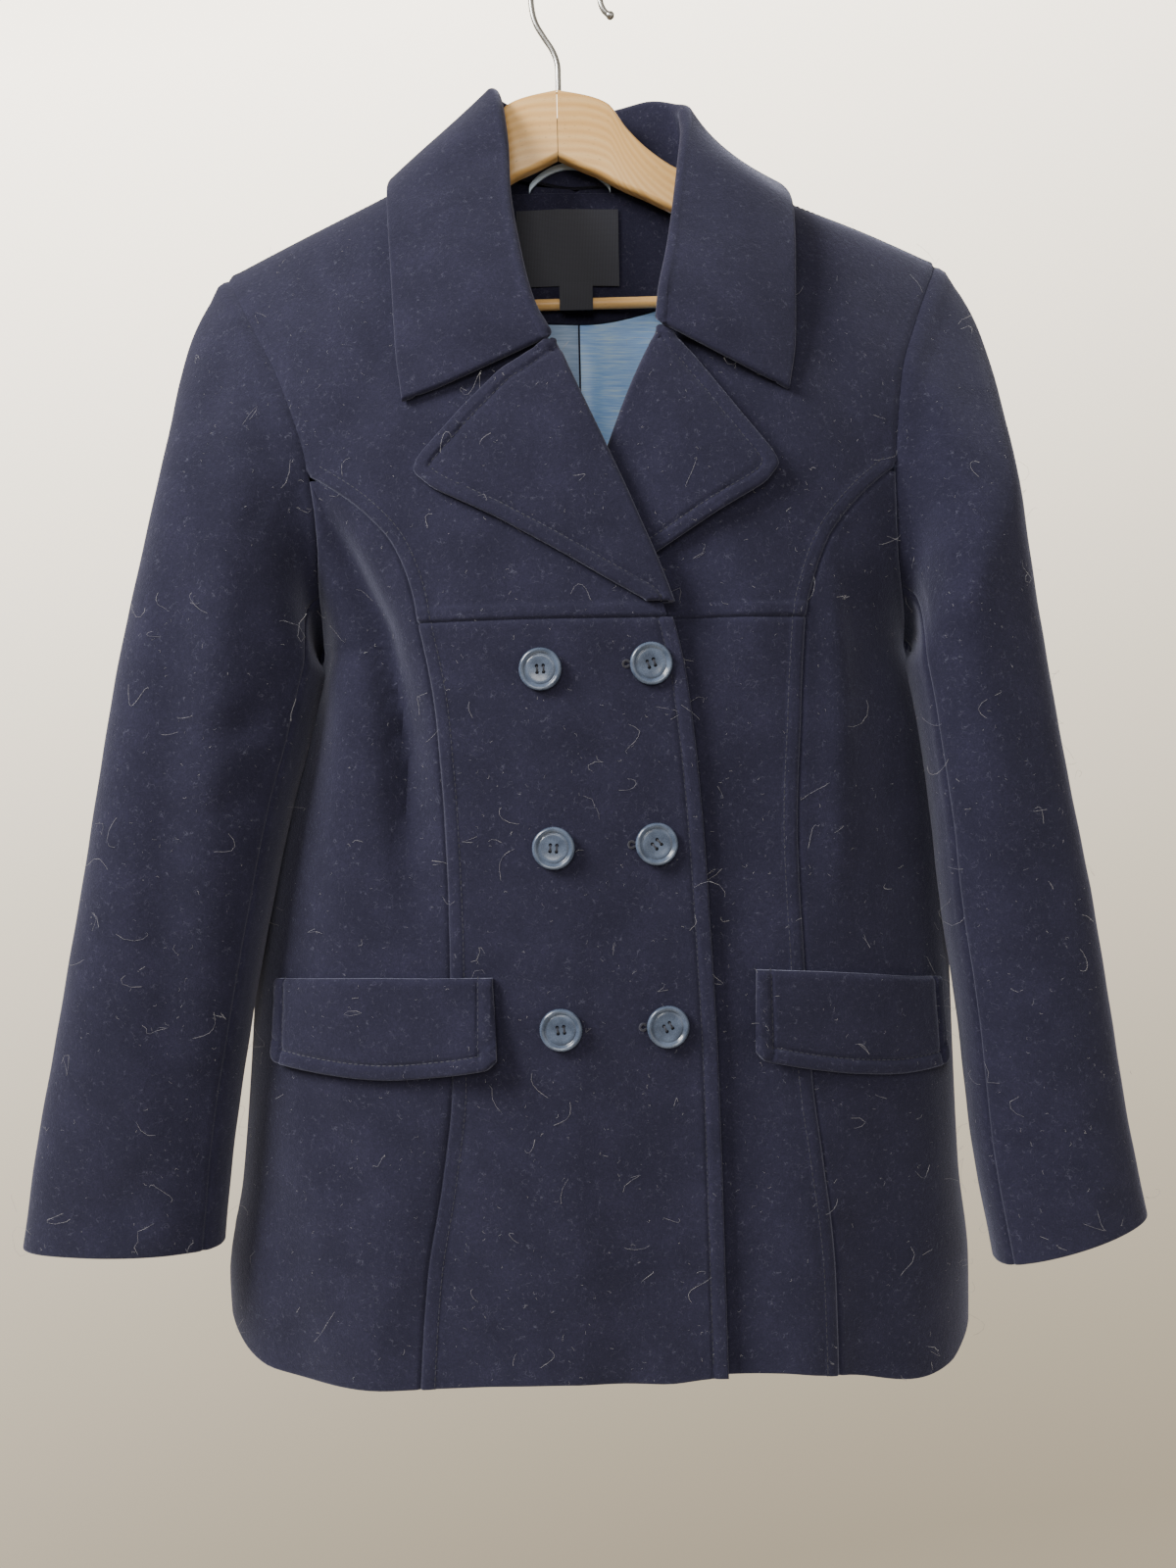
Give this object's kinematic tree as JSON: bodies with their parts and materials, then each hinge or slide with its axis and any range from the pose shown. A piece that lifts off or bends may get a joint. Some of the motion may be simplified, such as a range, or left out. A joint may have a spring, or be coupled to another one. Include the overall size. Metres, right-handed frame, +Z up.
{
  "type": "pea coat on a wooden hanger",
  "caption": "Double-breasted wool pea coat with notched lapels, flap pockets and long sleeves, hanging buttoned on a wooden hanger with a steel hook.",
  "frame": {"origin": "inside top of the hanger's hook, where a rail or a wall hook holds it", "axes": "+Z up, the coat's front faces -Y, +X to the right of someone who looks at the front"},
  "size_m": [0.636, 0.1271, 0.8384],
  "materials": {
    "wool": "navy wool melton with a brushed nap",
    "lining": "light blue satin lining",
    "label": "dark woven label, bare",
    "button": "slate blue moulded resin",
    "wood": "clear-lacquered light wood",
    "steel": "plated steel wire"
  },
  "bodies": {
    "root": {"front_yoke_left": "wool", "front_yoke_right": "wool", "front_lower_left": "wool", "front_lower_right": "wool", "side_front_left": "wool", "side_front_right": "wool", "back_left": "wool", "back_right": "wool", "sleeve_upper_left": "wool", "sleeve_upper_right": "wool", "sleeve_under_left": "wool", "sleeve_under_right": "wool", "collar": "wool", "lapel_left": "wool", "lapel_right": "wool", "flap_left": "wool", "flap_right": "wool", "back_neck_facing": "wool", "lining_back_left": "lining", "lining_back_right": "lining", "hanging_loop": "lining", "label_main": "label", "label_size": "label", "button_1": "button", "button_2": "button", "button_3": "button", "button_4": "button", "button_5": "button", "button_6": "button", "hanger_arm_left": "wood", "hanger_arm_right": "wood", "hanger_bar": "wood", "hanger_hook": "steel"}
  },
  "joints": []
}
